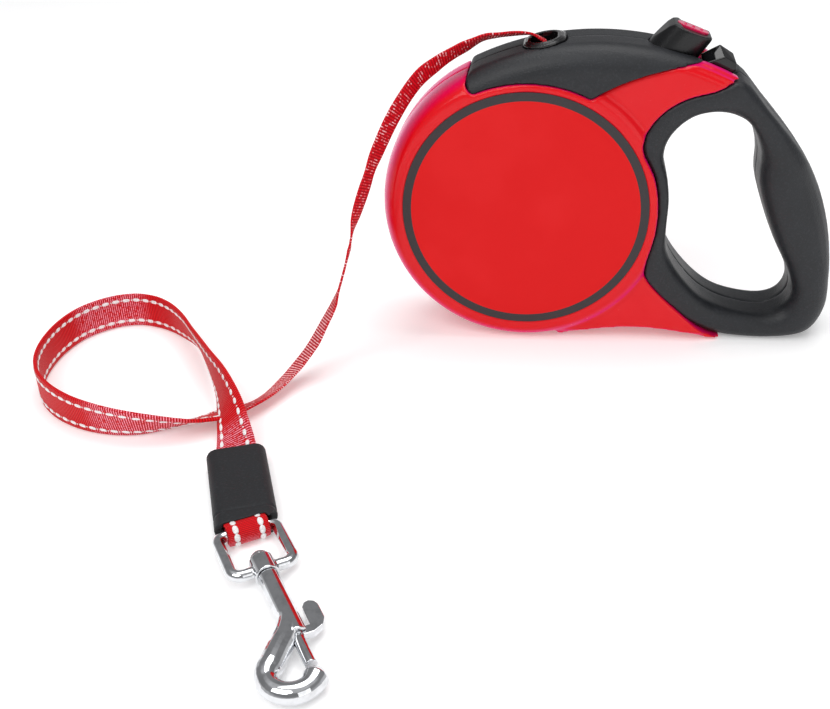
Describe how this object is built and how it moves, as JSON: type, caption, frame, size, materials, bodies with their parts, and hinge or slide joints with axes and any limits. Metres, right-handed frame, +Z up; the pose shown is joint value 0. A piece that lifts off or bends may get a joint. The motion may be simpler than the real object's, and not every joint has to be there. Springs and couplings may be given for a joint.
{
  "type": "retractable tape leash",
  "caption": "Retractable pet leash: round reel casing with a finger-loop handle, thumb brake and lock slider, flat tape, stitched leader loop and swivel snap hook.",
  "frame": {"origin": "on the ground, midway along the casing's length and on its parting plane", "axes": "+Z up, +X from the reel towards the handle, -Y is the front face, from which the leader lies out"},
  "size_m": [0.3096, 0.2408, 0.1245],
  "materials": {
    "front_shell": "glossy moulded plastic",
    "back_shell": "glossy moulded plastic",
    "front_disc": "semi-gloss moulded plastic",
    "back_disc": "semi-gloss moulded plastic",
    "front_trim_ring": "satin charcoal",
    "back_trim_ring": "satin charcoal",
    "front_top_cover": "soft-touch, fine grain",
    "back_top_cover": "soft-touch, fine grain",
    "front_grip": "soft-touch, fine grain",
    "back_grip": "soft-touch, fine grain",
    "tape_guide": "polished",
    "shell_screws": "zinc plated",
    "axle": "turned",
    "spring_arbor": "turned",
    "power_spring": "blued spring steel",
    "reel": "moulded",
    "reel_front_flange": "moulded",
    "spring_cup_cover": "moulded",
    "tape_winding": "woven tape",
    "inner_tape": "woven tape",
    "brake_button": "satin black",
    "button_insert": "glossy",
    "brake_plunger": "stamped",
    "brake_spring": "wire",
    "lock_slider": "glossy black",
    "lock_detent_spring": "leaf",
    "lead_tape": "woven tape",
    "leader_webbing": "ribbed webbing with white stitching",
    "leader_end_loop": "ribbed webbing",
    "rubber_sleeve": "matte moulded rubber",
    "swivel_ring": "polished",
    "snap_body": "polished",
    "snap_bolt": "polished",
    "bolt_spring": "wire"
  },
  "bodies": {
    "casing": {"front_shell": "front_shell", "back_shell": "back_shell", "front_disc": "front_disc", "back_disc": "back_disc", "front_trim_ring": "front_trim_ring", "back_trim_ring": "back_trim_ring", "front_top_cover": "front_top_cover", "back_top_cover": "back_top_cover", "front_grip": "front_grip", "back_grip": "back_grip", "tape_guide": "tape_guide", "shell_screws": "shell_screws", "axle": "axle", "spring_arbor": "spring_arbor", "power_spring": "power_spring", "inner_tape": "inner_tape", "brake_spring": "brake_spring", "lock_detent_spring": "lock_detent_spring", "lead_tape": "lead_tape", "leader_webbing": "leader_webbing", "leader_end_loop": "leader_end_loop", "rubber_sleeve": "rubber_sleeve"},
    "reel": {"reel": "reel", "reel_front_flange": "reel_front_flange", "spring_cup_cover": "spring_cup_cover", "tape_winding": "tape_winding"},
    "brake": {"brake_button": "brake_button", "button_insert": "button_insert", "brake_plunger": "brake_plunger"},
    "lock": {"lock_slider": "lock_slider"},
    "ring": {"swivel_ring": "swivel_ring"},
    "snap": {"snap_body": "snap_body", "bolt_spring": "bolt_spring"},
    "bolt": {"snap_bolt": "snap_bolt"}
  },
  "joints": [
    {"name": "reel_spin", "type": "hinge", "parent": "casing", "child": "reel", "pos_m": [-0.032, 0, 0.056], "axis": [0, 1, 0], "continuous": true},
    {"name": "brake_press", "type": "slide", "parent": "casing", "child": "brake", "axis": [-0.6157, 0, -0.788], "range_m": [0, 0.0045], "stiffness_N_per_m": 600, "springref_m": -0.002},
    {"name": "lock_slide", "type": "slide", "parent": "casing", "child": "lock", "axis": [0.9272, 0, -0.3746], "range_m": [0, 0.002]},
    {"name": "ring_tilt", "type": "hinge", "parent": "casing", "child": "ring", "pos_m": [-0.11312, -0.1541, 0.0041], "axis": [0.8572, 0.515, 0], "range_deg": [-40, 40]},
    {"name": "hook_swivel", "type": "hinge", "parent": "ring", "child": "snap", "pos_m": [-0.10272, -0.17142, 0.0041], "axis": [0.515, -0.8572, 0], "continuous": true},
    {"name": "bolt_slide", "type": "slide", "parent": "snap", "child": "bolt", "axis": [-0.515, 0.8572, 0], "range_m": [0, 0.0075], "stiffness_N_per_m": 300, "springref_m": -0.002}
  ]
}
